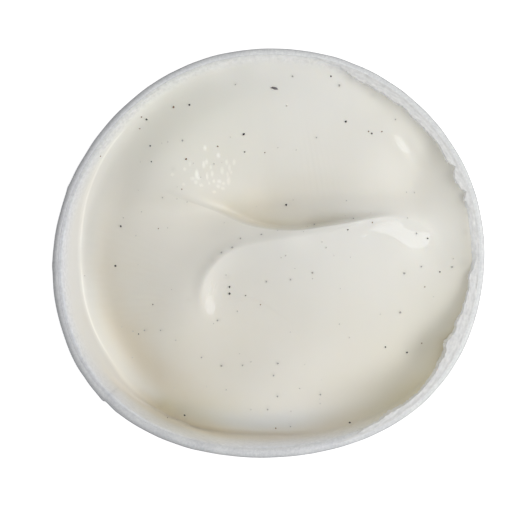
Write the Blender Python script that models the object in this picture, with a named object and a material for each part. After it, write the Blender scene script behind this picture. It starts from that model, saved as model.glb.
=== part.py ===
# A single-portion paper cup of vanilla ice cream, part eaten with a spoon.
# The cup is white board: a tapered wall with a rolled lip, pressed a little out of round, a lapped side
# seam, and a recessed bottom disc whose skirt stands in the folded foot of the wall.
# The ice cream fills the cup from the disc to just below the lip. Its top is one surface worked out from
# the sizes below: a film left up the wall, a hollow along the left wall, a spoon trough with an overhanging
# crest across the middle, a second fold round the lobe in front of it, and soft rises and dips.
# Sizes are in millimetres. +Z is up, the origin is the middle of the foot on the table, the cup is seen
# from above with +X to the right.

import bpy
import numpy as np

MILLIMETRE = 0.001

# Cup
CUP_HEIGHT = 60.0
LIP_RADIUS = 43.85
LIP_ROLL = 2.0
FOOT_RADIUS = 35.2
BOARD = 0.45
# Each pair of numbers after the count of waves is a size and the direction of its crest in degrees.
LIP_WAVES = ((1, 0.66, -77.5), (2, 1.29, 12.1), (3, 0.61, -29.0), (4, 0.31, 41.5), (5, 0.08, 23.2), (7, 0.06, 14.0))
SEAM_DIRECTION = 222.0
SEAM_LAP_DEGREES = 11.0
SEAM_EASE_DEGREES = 9.0
SEAM_EDGE_DEGREES = 0.35
FOOT_FOLD_HEIGHT = 4.2
FOOT_FOLD_DEPTH = 1.45
EDGE_ROUND = 0.15
ROLL_STEPS = 7
INSIDE_STEPS = 4

# Bottom disc
DISC_TOP = 5.0
DISC_BOARD = 0.4
SKIRT_END = 0.8

# Ice cream
GAP = 0.3
WALL_RINGS = (0.4, 0.9, 1.5, 2.2, 3.0, 4.0)
INNER_RINGS = 33
INNERMOST_SHARE = 0.024
CONTACT_ROUNDS = 6

# Mesh
SEGMENTS = 96
ICE_CREAM_SEGMENTS = 106
LINE_STEPS = 8

# The level of the ice cream, below the lip: in the middle, and at LEVEL_RADIUS to the east, north-east,
# north, north-west, west, south-west, south and south-east.
MIDDLE_LEVEL = -4.2
LEVEL_RADIUS = 32.0
SIDE_LEVELS = (-5.0, -3.5, -3.0, -3.3, -6.1, -8.2, -7.3, -6.6)
# How far below the lip the ice cream meets the wall, and how far in from the wall it climbs to there.
CONTACT_DEPTH = (1.3, 1.7, 1.0, 1.4, 1.3, 1.8, 2.0, 2.5)
CLIMB_REACH = (0.7, 0.6, 0.9, 2.2, 3.6, 1.7, 0.6, 1.2)
MEAN_CONTACT = 1.6
# The slope up to the wall, and the crevice beside the wall, by the same eight directions.
FILM_RISE = (4.4, 4.2, 3.8, 1.6, 5.3, 2.9, 4.4, 0.4)
FILM_REACH = 7.7
CREVICE_DROP = (0.6, 1.6, 1.4, 3.0, 4.8, 0.5, 3.1, 0.0)
CREVICE_REACH = 4.8
# The hollow along the left wall: its direction, half spread, distance from the wall, depth and half width.
HOLLOW_DIRECTION = 185.0
HOLLOW_SPREAD = 60.0
HOLLOW_FROM_WALL = 7.4
HOLLOW_DEPTH = 1.8
HOLLOW_WIDTH = 4.4

# The spoon fold: its line from left to right, the trough behind it and the crest on it.
FOLD_LINE = (
    (-20.2, 12.1),
    (-11.2, 8.9),
    (-3.8, 5.9),
    (4.7, 5.0),
    (14.1, 6.2),
    (24.7, 7.5),
    (31.0, 6.0),
    (35.8, 1.7),
)
TROUGH_DEPTH = 2.9
TROUGH_WALL = 0.7
TROUGH_REACH = 5.6
CREST_HEIGHT = 1.2
CREST_BACK = 1.8
CREST_FRONT = 3.6
# The point of the fold's line where the mesh's rays start, and how far to its sides they bend along it.
FOLD_MIDDLE = 3
RAY_SPREAD = 24.0

# The fold round the lobe: its line from the lobe's left end to the spoon fold.
LOBE_LINE = (
    (-12.6, -14.9),
    (-13.7, -9.4),
    (-12.2, -4.2),
    (-7.6, 0.3),
    (0.4, 2.3),
    (13.1, 4.3),
    (24.7, 6.8),
)
LOBE_DROP = 2.2
LOBE_WALL = 5.0
LOBE_REACH = 12.5
LOBE_RIDGE = 0.7
RIDGE_BACK = 1.6
RIDGE_FRONT = 1.3

# Soft rises and dips: height, the middle (x, y), and the half widths along x and y.
SWELLS = (
    (2.9, (18.6, -5.3), (20.3, 19.6)),
    (0.5, (29.9, 21.5), (5.8, 9.5)),
    (0.8, (-22.6, 16.1), (8.5, 7.4)),
    (-0.6, (-1.3, 12.1), (14.3, 4.5)),
    (-1.7, (30.8, 17.5), (5.7, 6.2)),
    (-3.4, (-23.6, -35.6), (8.2, 7.2)),
    (-0.9, (35.6, -20.1), (7.5, 2.7)),
    (3.0, (-18.1, -8.4), (7.7, 10.4)),
)


def ease(low, high, value):
    """A smooth step from 0 at low to 1 at high."""
    part = np.clip((value - low) / (high - low), 0.0, 1.0)
    return part * part * (3.0 - 2.0 * part)


def lip_radius(angle):
    """The outer radius of the rolled lip, out of round."""
    radius = LIP_RADIUS + 0.0 * angle
    for waves, size, direction in LIP_WAVES:
        radius = radius + size * np.cos(waves * (angle - np.radians(direction)))
    return radius


def inner_radius(angle, height):
    """The inside of the wall, straight from the round foot to the lip."""
    foot = FOOT_RADIUS - BOARD
    return foot + (lip_radius(angle) - LIP_ROLL - foot) * height / CUP_HEIGHT


def seam_step(angle):
    """How far the outside stands proud where one end of the wall laps over the other."""
    before = (SEAM_DIRECTION - np.degrees(angle)) % 360.0
    lapped = 1.0 - ease(SEAM_LAP_DEGREES, SEAM_LAP_DEGREES + SEAM_EASE_DEGREES, before)
    return BOARD * lapped


def round_angles():
    """The directions of the mesh's upright lines, with a close pair at the seam's edge."""
    even = np.radians(SEAM_DIRECTION + 360.0 * np.arange(1, SEGMENTS) / SEGMENTS)
    edge = np.radians([SEAM_DIRECTION, SEAM_DIRECTION + SEAM_EDGE_DEGREES])
    return np.sort(np.concatenate([edge, even]) % (2.0 * np.pi))


def smooth_line(points, steps):
    """A smooth curve through the points, each span cut into short straight pieces."""
    points = np.array(points)
    points = np.vstack([2 * points[0] - points[1], points, 2 * points[-1] - points[-2]])
    pieces = []
    for before, start, end, after in zip(points, points[1:], points[2:], points[3:]):
        part = np.linspace(0.0, 1.0, steps, endpoint=False)[:, None]
        bend = 2 * before - 5 * start + 4 * end - after
        twist = 3 * (start - end) + after - before
        pieces.append(start + 0.5 * part * (end - before + part * (bend + part * twist)))
    pieces.append(points[-2][None])
    return np.vstack(pieces)


def beside_line(x, y, line):
    """The distance to the line, positive on its left side, and the share of the line passed there."""
    nearest = np.full(x.shape, np.inf)
    distance = np.zeros(x.shape)
    share = np.zeros(x.shape)
    steps = np.diff(line, axis=0)
    lengths = np.hypot(steps[:, 0], steps[:, 1])
    passed = np.concatenate([[0.0], np.cumsum(lengths)])
    for start, step, length, before in zip(line, steps / lengths[:, None], lengths, passed):
        from_x = x - start[0]
        from_y = y - start[1]
        along = np.clip(from_x * step[0] + from_y * step[1], 0.0, length)
        away = np.hypot(from_x - along * step[0], from_y - along * step[1])
        side = np.where(step[0] * from_y - step[1] * from_x >= 0.0, 1.0, -1.0)
        closer = away < nearest
        nearest = np.where(closer, away, nearest)
        distance = np.where(closer, side * away, distance)
        share = np.where(closer, (before + along) / passed[-1], share)
    return distance, share


def by_direction(values, angle):
    """A smooth value round the cup through the eight values, one every 45 degrees from east."""
    values = np.array(values)
    place = (np.degrees(angle) % 360.0) / 45.0
    index = np.floor(place).astype(int)
    part = place - index
    before, start, end, after = (values[(index + k) % 8] for k in (-1, 0, 1, 2))
    bend = 2 * before - 5 * start + 4 * end - after
    twist = 3 * (start - end) + after - before
    return start + 0.5 * part * (end - before + part * (bend + part * twist))


def bell(value, width):
    return np.exp(-((value / width) ** 2))


def half_turn(angle):
    """The same direction, as an angle within half a turn of zero."""
    return (angle + np.pi) % (2.0 * np.pi) - np.pi


def bowl_shape(angle, radius):
    """The level, the slope and crevice at the wall, and the hollow along the left wall."""
    from_wall = inner_radius(angle, CUP_HEIGHT - MEAN_CONTACT) - radius
    inside = np.maximum(from_wall, 0.0)
    outward = ease(0.0, LEVEL_RADIUS, radius)
    level = MIDDLE_LEVEL + (by_direction(SIDE_LEVELS, angle) - MIDDLE_LEVEL) * outward
    film = by_direction(FILM_RISE, angle) * np.exp(-inside / FILM_REACH)
    crevice = by_direction(CREVICE_DROP, angle) * bell(inside, CREVICE_REACH)
    turned = np.degrees(half_turn(angle - np.radians(HOLLOW_DIRECTION)))
    hollow = HOLLOW_DEPTH * bell(turned, HOLLOW_SPREAD) * bell(from_wall - HOLLOW_FROM_WALL, HOLLOW_WIDTH)
    return level + film - crevice - hollow


def spoon_fold(x, y):
    away, share = beside_line(x, y, smooth_line(FOLD_LINE, LINE_STEPS))
    behind = np.maximum(away, 0.0)
    trough = TROUGH_DEPTH * ease(0.0, 0.42, share) * (1.0 - ease(0.55, 0.82, share))
    trough = trough * (1.0 - bell(behind, TROUGH_WALL)) * np.exp(-behind / TROUGH_REACH)
    crest = CREST_HEIGHT * ease(0.0, 0.35, share) * (1.0 - ease(0.8, 1.0, share))
    crest = crest * np.where(away > 0.0, bell(away, CREST_BACK), np.exp(np.minimum(away, 0.0) / CREST_FRONT))
    return crest - trough


def lobe_fold(x, y):
    away, share = beside_line(x, y, smooth_line(LOBE_LINE, LINE_STEPS))
    behind = np.maximum(away, 0.0)
    strength = ease(0.0, 0.22, share) * (1.0 - ease(0.5, 0.95, share))
    drop = LOBE_DROP * (1.0 - bell(behind, LOBE_WALL)) * np.exp(-behind / LOBE_REACH)
    front = np.exp(np.minimum(away, 0.0) / RIDGE_FRONT)
    ridge = LOBE_RIDGE * np.where(away > 0.0, bell(away, RIDGE_BACK), front)
    return strength * (ridge - drop)


def spooned_shape(angle, radius):
    """The surface as the spoon left it, before it climbs the wall."""
    x = radius * np.cos(angle)
    y = radius * np.sin(angle)
    height = CUP_HEIGHT + bowl_shape(angle, radius) + spoon_fold(x, y) + lobe_fold(x, y)
    for rise, (middle_x, middle_y), (width_x, width_y) in SWELLS:
        height = height + rise * bell(x - middle_x, width_x) * bell(y - middle_y, width_y)
    return height


def ice_cream_top(x, y):
    """The height of the ice cream's surface above the table."""
    angle = np.arctan2(y, x)
    radius = np.hypot(x, y)
    wall = inner_radius(angle, CUP_HEIGHT - MEAN_CONTACT)
    contact = CUP_HEIGHT - by_direction(CONTACT_DEPTH, angle)
    climb = contact - spooned_shape(angle, wall)
    inside = np.maximum(wall - radius, 0.0)
    return spooned_shape(angle, radius) + climb * np.exp(-((inside / by_direction(CLIMB_REACH, angle)) ** 1.5))


def fold_rays(edge_x, edge_y, share):
    """Points at a share of the way from the fold's middle to the edge, on rays of which two follow the fold."""
    middle_x, middle_y = FOLD_LINE[FOLD_MIDDLE]
    line = smooth_line(FOLD_LINE, LINE_STEPS)
    start = FOLD_MIDDLE * LINE_STEPS
    direction = np.arctan2(edge_y - middle_y, edge_x - middle_x)
    distance = np.hypot(edge_x - middle_x, edge_y - middle_y) * share
    turned = direction + 0.0
    for half in (line[:start][::-1], line[start + 1:]):
        from_middle = np.hypot(half[:, 0] - middle_x, half[:, 1] - middle_y)
        bearing = np.arctan2(half[:, 1] - middle_y, half[:, 0] - middle_x)
        nearest = direction[np.argmin(np.abs(half_turn(direction - bearing[-1])))]
        turn = np.interp(distance, from_middle, half_turn(bearing - nearest))
        beside = half_turn(direction - nearest)
        turn = turn * bell(beside, np.radians(RAY_SPREAD)) * (1.0 - ease(0.85, 1.0, share))
        turned = turned + turn
    return middle_x + distance * np.cos(turned), middle_y + distance * np.sin(turned)


def material(name, colour, roughness):
    made = bpy.data.materials.new(name)
    made.use_nodes = True
    shader = made.node_tree.nodes["Principled BSDF"]
    shader.inputs["Base Color"].default_value = (*colour, 1.0)
    shader.inputs["Roughness"].default_value = roughness
    shader.inputs["Metallic"].default_value = 0.0
    return made


def solid(name, points, faces, finish, sharp_degrees):
    """One closed body from points in millimetres."""
    mesh = bpy.data.meshes.new(name)
    mesh.from_pydata((np.array(points) * MILLIMETRE).tolist(), [], faces)
    mesh.materials.append(finish)
    mesh.shade_smooth()
    mesh.set_sharp_from_angle(angle=np.radians(sharp_degrees))
    made = bpy.data.objects.new(name, mesh)
    bpy.context.scene.collection.objects.link(made)
    return made


def ring_faces(below, above, count):
    """Quads between two rings of points, facing out where the second ring lies above the first."""
    faces = []
    for i in range(count):
        j = (i + 1) % count
        faces.append((below + i, below + j, above + j, above + i))
    return faces


def fan_faces(ring, middle, count, up):
    faces = []
    for i in range(count):
        j = (i + 1) % count
        faces.append((ring + i, ring + j, middle) if up else (ring + j, ring + i, middle))
    return faces


def ring_points(angles, radii, heights):
    return np.column_stack([radii * np.cos(angles), radii * np.sin(angles), heights + 0.0 * angles])


def wall_section():
    """The board's cut edge as (offset out from the inside face, height), anticlockwise from the fold's top."""
    half = LIP_ROLL / 2.0
    meet = np.arcsin((half - BOARD) / half)
    outside = np.linspace(-np.pi / 2.0 - meet, np.pi / 2.0, ROLL_STEPS)
    turn = np.concatenate([outside, np.linspace(np.pi / 2.0, np.pi, INSIDE_STEPS)[1:]])
    section = [
        (-FOOT_FOLD_DEPTH, FOOT_FOLD_HEIGHT),
        (-FOOT_FOLD_DEPTH, EDGE_ROUND),
        (EDGE_ROUND - FOOT_FOLD_DEPTH, 0.0),
        (BOARD - EDGE_ROUND, 0.0),
        (BOARD, EDGE_ROUND),
    ]
    for angle in turn:
        section.append((half + half * np.cos(angle), CUP_HEIGHT - half + half * np.sin(angle)))
    section.append((0.0, BOARD))
    section.append((BOARD - FOOT_FOLD_DEPTH, BOARD))
    section.append((BOARD - FOOT_FOLD_DEPTH, FOOT_FOLD_HEIGHT))
    return section


def cup_wall(finish):
    angles = round_angles()
    count = len(angles)
    step = seam_step(angles)
    section = wall_section()
    rings = []
    faces = []
    for offset, height in section:
        proud = step * np.clip(offset / BOARD, 0.0, 1.0)
        rings.append(ring_points(angles, inner_radius(angles, height) + offset + proud, height))
    for k in range(len(section)):
        faces += ring_faces(k * count, (k + 1) % len(section) * count, count)
    return solid("cup_wall", np.vstack(rings), faces, finish, 40.0)


def cup_base(finish):
    angles = round_angles()
    count = len(angles)
    outline = (
        (-GAP - DISC_BOARD, DISC_TOP - DISC_BOARD),
        (-GAP - DISC_BOARD, SKIRT_END),
        (-GAP, SKIRT_END),
        (-GAP, DISC_TOP - EDGE_ROUND),
        (-GAP - EDGE_ROUND, DISC_TOP),
    )
    rings = []
    for offset, height in outline:
        rings.append(ring_points(angles, inner_radius(angles, height) + offset, height))
    faces = []
    for k in range(len(outline) - 1):
        faces += ring_faces(k * count, (k + 1) * count, count)
    under = len(outline) * count
    middles = [[[0.0, 0.0, DISC_TOP - DISC_BOARD]], [[0.0, 0.0, DISC_TOP]]]
    faces += fan_faces(0, under, count, up=False)
    faces += fan_faces((len(outline) - 1) * count, under + 1, count, up=True)
    return solid("cup_base", np.vstack(rings + middles), faces, finish, 40.0)


def contact_ring(angles):
    """Where the surface meets the wall: the wall leans, so the height and the radius are found together."""
    height = np.full(angles.shape, CUP_HEIGHT - MEAN_CONTACT)
    for _ in range(CONTACT_ROUNDS):
        radius = inner_radius(angles, height) - GAP
        height = ice_cream_top(radius * np.cos(angles), radius * np.sin(angles))
    return radius, height


def ice_cream(finish):
    count = ICE_CREAM_SEGMENTS
    angles = 2.0 * np.pi * np.arange(count) / count
    edge_radius, edge_height = contact_ring(angles)
    bottom = DISC_TOP + GAP
    rings = [
        ring_points(angles, inner_radius(angles, bottom) - GAP, bottom),
        ring_points(angles, edge_radius, edge_height),
    ]
    for distance in WALL_RINGS:
        x = (edge_radius - distance) * np.cos(angles)
        y = (edge_radius - distance) * np.sin(angles)
        rings.append(np.column_stack([x, y, ice_cream_top(x, y)]))
    last_x = x
    last_y = y
    for share in np.linspace(1.0, INNERMOST_SHARE, INNER_RINGS)[1:]:
        x, y = fold_rays(last_x, last_y, share)
        rings.append(np.column_stack([x, y, ice_cream_top(x, y)]))
    faces = []
    for k in range(len(rings) - 1):
        faces += ring_faces(k * count, (k + 1) * count, count)
    middle_x, middle_y = FOLD_LINE[FOLD_MIDDLE]
    top = float(ice_cream_top(np.array([middle_x]), np.array([middle_y]))[0])
    under = len(rings) * count
    faces += fan_faces(0, under, count, up=False)
    faces += fan_faces(under - count, under + 1, count, up=True)
    middles = [[[0.0, 0.0, bottom]], [[middle_x, middle_y, top]]]
    return solid("ice_cream", np.vstack(rings + middles), faces, finish, 60.0)


def clear_scene():
    for item in list(bpy.data.objects):
        bpy.data.objects.remove(item, do_unlink=True)


clear_scene()
cup_wall(material("wall_board", (0.78, 0.79, 0.81), 0.6))
cup_base(material("disc_board", (0.76, 0.77, 0.79), 0.65))
ice_cream(material("vanilla", (0.80, 0.77, 0.68), 0.25))
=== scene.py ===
import math

import bpy
import numpy as np
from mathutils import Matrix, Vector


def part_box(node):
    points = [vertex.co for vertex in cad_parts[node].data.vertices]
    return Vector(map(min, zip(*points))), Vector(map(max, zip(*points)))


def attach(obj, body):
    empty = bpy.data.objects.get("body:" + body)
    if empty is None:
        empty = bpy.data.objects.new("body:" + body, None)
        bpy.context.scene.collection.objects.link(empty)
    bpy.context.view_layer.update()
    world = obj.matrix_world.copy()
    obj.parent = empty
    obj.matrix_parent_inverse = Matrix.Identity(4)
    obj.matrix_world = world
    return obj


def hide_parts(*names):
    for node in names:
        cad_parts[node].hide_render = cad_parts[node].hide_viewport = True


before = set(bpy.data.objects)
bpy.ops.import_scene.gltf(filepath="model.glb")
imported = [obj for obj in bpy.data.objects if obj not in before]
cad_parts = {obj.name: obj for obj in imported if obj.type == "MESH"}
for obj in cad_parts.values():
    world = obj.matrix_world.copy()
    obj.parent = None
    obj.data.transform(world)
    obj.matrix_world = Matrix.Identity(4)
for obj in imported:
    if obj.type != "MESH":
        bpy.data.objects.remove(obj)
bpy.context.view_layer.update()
print("frame loaded")

mm = 0.001  # everything below is in millimetres and is scaled when a mesh is made

camera = {
    "aboveLip": 400.0,      # straight above, looking down
    "x": -0.62,
    "y": -2.48,
    "across": 109.05,       # width of the picture at the height of the lip
    "pixels": 530,
    "sensor": 36.0,
}

cup = {
    "height": 60.0,
    "lipRadius": 43.85,     # to the lip's outside, on average
    "roll": 2.0,            # width of the rolled lip
    "footRadius": 35.2,
    "board": 0.45,          # thickness of the paper
    # the lip is a little out of round: waves round the cup, size, direction
    "waves": ((1, 0.66, -77.5), (2, 1.29, 12.1), (3, 0.61, -29.0), (4, 0.31, 41.5), (5, 0.08, 23.2),
              (7, 0.06, 14.0)),
    "seam": 222.0,          # direction of the lap's edge
    "seamLap": 11.0,        # how far the lap reaches round, and how slowly it blends in
    "seamEase": 9.0,
    "seamEdge": 0.3,
}

pixelSize = camera["across"] / camera["pixels"]
lineSteps = 10      # a smooth line has this many points from one corner to the next


def fromPhoto(u, v, depth=0.0):
    # the place that a pixel of the photograph shows, at a depth below the lip
    size = pixelSize * (camera["aboveLip"] + depth) / camera["aboveLip"]
    middle = camera["pixels"] / 2.0
    return camera["x"] + (u - middle) * size, camera["y"] - (v - middle) * size


def ease(low, high, value):
    part = np.clip((value - low) / (high - low), 0.0, 1.0)
    return part * part * (3.0 - 2.0 * part)


def span(limits, value):
    # rises from 0 to 1 between the first two limits and falls again between the last two
    low, full, fading, gone = limits
    return ease(low, full, value) * (1.0 - ease(fading, gone, value))


def bell(value, width):
    return np.exp(-((value / width) ** 2))


def halfTurn(angle):
    return (angle + np.pi) % (2.0 * np.pi) - np.pi


def around(radius, angles, height):
    # a row of points round the cup
    return np.column_stack([radius * np.cos(angles), radius * np.sin(angles), height + 0.0 * angles])


def lipRadius(angle):
    radius = cup["lipRadius"] + 0.0 * angle
    for waves, size, direction in cup["waves"]:
        radius = radius + size * np.cos(waves * (angle - np.radians(direction)))
    return radius


def innerRadius(angle, height):
    foot = cup["footRadius"] - cup["board"]
    return foot + (lipRadius(angle) - cup["roll"] - foot) * height / cup["height"]


def curve(before, start, end, after, part):
    # the smooth way from start to end that goes on to the values before and after them
    bend = 2 * before - 5 * start + 4 * end - after
    twist = 3 * (start - end) + after - before
    return start + 0.5 * part * (end - before + part * (bend + part * twist))


def byDirection(values, angle):
    # a smooth value round the cup through values that are evenly spaced from east
    values = np.array(values, float)
    count = len(values)
    place = (np.degrees(angle) % 360.0) / (360.0 / count)
    index = np.floor(place).astype(int)
    return curve(*(values[(index + k) % count] for k in (-1, 0, 1, 2)), place - index)


def smoothLine(points):
    points = np.array(points, float)
    points = np.vstack([2 * points[0] - points[1], points, 2 * points[-1] - points[-2]])
    part = np.linspace(0.0, 1.0, lineSteps, endpoint=False)[:, None]
    pieces = [curve(*corners, part) for corners in zip(points, points[1:], points[2:], points[3:])]
    return np.vstack(pieces + [points[-2][None]])


def photoLine(points):
    # a smooth line through pixels of the photo, each with its depth
    return smoothLine([fromPhoto(*point) for point in points])


def besideLine(x, y, line):
    # distance to the line, positive on its left side, and the share of the line passed there
    nearest = np.full(x.shape, np.inf)
    distance = np.zeros(x.shape)
    share = np.zeros(x.shape)
    steps = np.diff(line, axis=0)
    lengths = np.hypot(steps[:, 0], steps[:, 1])
    passed = np.concatenate([[0.0], np.cumsum(lengths)])
    for start, step, length, before in zip(line, steps / lengths[:, None], lengths, passed):
        fromX = x - start[0]
        fromY = y - start[1]
        along = np.clip(fromX * step[0] + fromY * step[1], 0.0, length)
        away = np.hypot(fromX - along * step[0], fromY - along * step[1])
        side = np.where(step[0] * fromY - step[1] * fromX >= 0.0, 1.0, -1.0)
        closer = away < nearest
        nearest = np.where(closer, away, nearest)
        distance = np.where(closer, side * away, distance)
        share = np.where(closer, (before + along) / passed[-1], share)
    return distance, share


def ripples(x, y, seed, waves, longest, shortest):
    # soft unevenness: a sum of waves in drawn directions, between two wavelengths, about 1 high in all
    draw = np.random.default_rng(seed)
    total = np.zeros(x.shape)
    for _ in range(waves):
        length = longest * (shortest / longest) ** draw.random()
        turn = draw.random() * 2.0 * np.pi
        start = draw.random() * 2.0 * np.pi
        total += np.sin((x * np.cos(turn) + y * np.sin(turn)) * 2.0 * np.pi / length + start)
    return total / math.sqrt(waves)


def alongRipples(value, seed, waves, longest, shortest):
    return ripples(value, 0.0 * value, seed, waves, longest, shortest)


def makePiece(name, points, faces, material, sharpDegrees=180.0):
    mesh = bpy.data.meshes.new(name)
    mesh.from_pydata((np.asarray(points) * mm).tolist(), [], faces)
    mesh.materials.append(material)
    mesh.shade_smooth()
    if sharpDegrees < 180.0:
        mesh.set_sharp_from_angle(angle=math.radians(sharpDegrees))
    piece = bpy.data.objects.new(name, mesh)
    bpy.context.scene.collection.objects.link(piece)
    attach(piece, "root")
    return piece


def setAttribute(piece, name, kind, field, values):
    data = piece.data.attributes.new(name, kind, "POINT").data
    data.foreach_set(field, np.asarray(values, np.float32).ravel())


def setTone(piece, colours, alpha=1.0):
    # a factor for the material's colour at every point
    tone = np.ones((len(colours), 4))
    tone[:, :3] = colours
    tone[:, 3] = alpha
    setAttribute(piece, "tone", "FLOAT_COLOR", "color", tone)


def ringFaces(rings, count, closed=False):
    faces = []
    last = rings if closed else rings - 1
    for k in range(last):
        low = k * count
        high = (k + 1) % rings * count
        for i in range(count):
            j = (i + 1) % count
            faces.append((low + i, low + j, high + j, high + i))
    return faces


noiseRange = (0.3, 0.7)     # nearly all of a noise texture lies between these


def newMaterial(name):
    material = bpy.data.materials.new(name)
    material.use_nodes = True
    tree = material.node_tree
    return material, tree, tree.nodes["Principled BSDF"]


def addNode(tree, kind, sources=None, **values):
    # a node with its settings, and the outputs that feed its sockets
    node = tree.nodes.new("ShaderNode" + kind)
    for key, value in values.items():
        if key in node.inputs:
            node.inputs[key].default_value = value
        else:
            setattr(node, key, value)
    for socket, source in (sources or {}).items():
        tree.links.new(source, node.inputs[socket])
    return node


def addNoise(tree, scale, detail, roughness):
    place = addNode(tree, "TexCoord").outputs["Object"]
    noise = addNode(tree, "TexNoise", {"Vector": place}, Scale=scale, Detail=detail, Roughness=roughness)
    return noise.outputs["Fac"]


def addMath(tree, operation, *terms):
    # each term is an output or a number
    node = addNode(tree, "Math", operation=operation)
    for socket, term in zip(node.inputs, terms):
        if isinstance(term, float):
            socket.default_value = term
        else:
            tree.links.new(term, socket)
    return node.outputs[0]


def mapRange(tree, source, old, new):
    limits = dict(zip(("From Min", "From Max", "To Min", "To Max"), (*old, *new)))
    return addNode(tree, "MapRange", {"Value": source}, **limits).outputs["Result"]


def addRamp(tree, source, stops):
    node = addNode(tree, "ValToRGB", {"Fac": source})
    elements = node.color_ramp.elements
    while len(elements) < len(stops):
        elements.new(0.5)
    for element, (position, colour) in zip(elements, stops):
        element.position = position
        element.color = (*colour, 1.0)
    return node.outputs["Color"]


def pointValue(tree, name, output):
    return addNode(tree, "Attribute", attribute_name=name).outputs[output]


def toned(tree, colour):
    # the colour times the piece's own tone
    sources = {0: colour, 1: pointValue(tree, "tone", "Color")}
    return addNode(tree, "VectorMath", sources, operation="MULTIPLY").outputs[0]


def addBump(tree, height, distance, strength=1.0):
    return addNode(tree, "Bump", {"Height": height}, Strength=strength, Distance=distance).outputs["Normal"]


def setShader(tree, shader, sources, **values):
    for socket, source in sources.items():
        tree.links.new(source, shader.inputs[socket])
    for name, value in values.items():
        shader.inputs[name.replace("_", " ")].default_value = value


paper = {
    "colour": (0.715, 0.725, 0.745),
    "uneven": 0.10,         # how far the fibres and frost change its lightness
    "grain": 1900.0,        # fibres and frost per metre
    "grainDepth": 0.00007,
    "roughness": 0.62,
    # painted light and shade of the lip, outside and inside its crest, by direction from east round by north
    "outerPaintedLight": (1.09, 1.06, 1.08, 1.06, 1.08, 0.96, 0.91, 0.87,
                   0.80, 0.84, 0.86, 0.91, 1.03, 1.08, 1.11, 1.09),
    "innerPaintedLight": (1.16, 1.16, 1.17, 1.20, 1.14, 1.04, 1.01, 0.955,
                   0.885, 0.845, 0.85, 0.93, 1.08, 1.18, 1.20, 1.16),
    "crest": (0.85, 1.3),   # the one passes into the other here, from the outline inwards
    # the lip's painted tint by direction: less blue on its lit sides, bluer in the shade at the west
    "paintedBlueLoss": (0.03, 0.03, 0.03, 0.02, 0.03, 0.01, 0.005, 0.0, 0, 0, 0.005, 0.01, 0.01, 0.01, 0.03, 0.03),
    "tonedHeight": (12.0, 2.0),     # the painted light and tint begin and are whole this far below the top
    "outerPaintedShade": 0.22,      # painted shade: the lip's outer side is this much darker at the right, where the lamp falls on it
    "outerPaintedShadeEnds": (0.95, 0.1),
    "outerPaintedShadeSpread": 70.0,
    "seamLoss": 0.32,       # the line along the lap's edge: on the wall, on the lip, on the cream beside it
    "seamOnLip": 0.04,
    "seamOnCream": 0.14,
    "seamWidth": 0.12,
    "creamSeamWidth": 0.26,
    "creamSeamEnds": (1.1, 1.6),
}

disc = {
    "colour": (0.78, 0.785, 0.80),
    "uneven": 0.05,
    "grain": 1800.0,
    "grainDepth": 0.00005,
    "roughness": 0.62,
}

# fibres of both papers
fibres = {
    "cloudSize": 9.0,       # the soft clouds are this many times as large as the grain
    "grainShift": (-0.5, 0.5),
    "cloudLevels": (0.2, 0.8),
    "blueShift": (0.015, 0.01),     # the dark places are bluer and the light ones warmer
    "roughnessShift": 0.1,
    "bumpStrength": 0.7,
}

vanilla = {
    # the cream's colour by depth below the lip: warmer and a little darker in the hollows, a painted warm
    # shade
    "colours": (
        (0.6, (0.86, 0.85, 0.80)),
        (3.0, (0.87, 0.85, 0.78)),
        (5.0, (0.87, 0.842, 0.76)),
        (7.0, (0.86, 0.825, 0.725)),
        (10.0, (0.845, 0.775, 0.63)),
    ),
    "deepest": 12.0,
    "filmTakes": (1.0, 1.0, 0.95),      # how much of each colour the film's painted shade and the seam line take away
    # warmer and cooler beside the wall, a painted tint of its shade, by direction, how far from it, and the
    # tints
    "warmth": (0.5, 0.4, 0.4, 0.1, 0.0, 0.0, -0.1, -0.2, -0.5, -0.4, -0.5, -0.1, -0.8, -0.2, 1.4, 1.3),
    "warmReach": 7.0,
    "warmTint": (0.022, 0.0, -0.10),
    "coolness": (0.0, 0.0, 0.0, 0.0, 0.1, 0.1, 0.1, 0.3, 0.8, 1.5, 1.3, 1.5, 1.6, 0.4, 0.0, 0.0),
    "coolPlace": (4.6, 2.3),
    "coolTint": (-0.03, 0.004, 0.06),
    # wide tints: pixel, half widths in pixels, share of each colour lost
    "tints": ((185, 120, 85, 62, (0.0, 0.0, 0.045)), (205, 408, 45, 14, (0.0, 0.0, 0.025)),
              (165, 408, 12, 9, (0.0, 0.02, 0.10))),
    "roughness": 0.6,
    "wetRoughness": 0.08,
    "subsurface": 0.10,
    "reach": 1.6,
    "cloudDepth": 0.05,     # how far the clouds shift the depth that the colour follows
    "clouds": 110.0,        # soft clouds, grains and frost crystals per metre
    "grain": 1500.0,
    "grainDepth": 0.000003,
    "frostGrain": 1300.0,
    "frostContrast": 0.11,
}

frost = {
    # where in its clouds it is darkest and lightest, and the colours
    "stops": ((0.35, (0.735, 0.735, 0.725)), (0.65, (0.815, 0.815, 0.80))),
    "grain": 1500.0,
    "grainDepth": 0.00002,
    "roughness": 0.5,
    "reach": 0.8,
}


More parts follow.
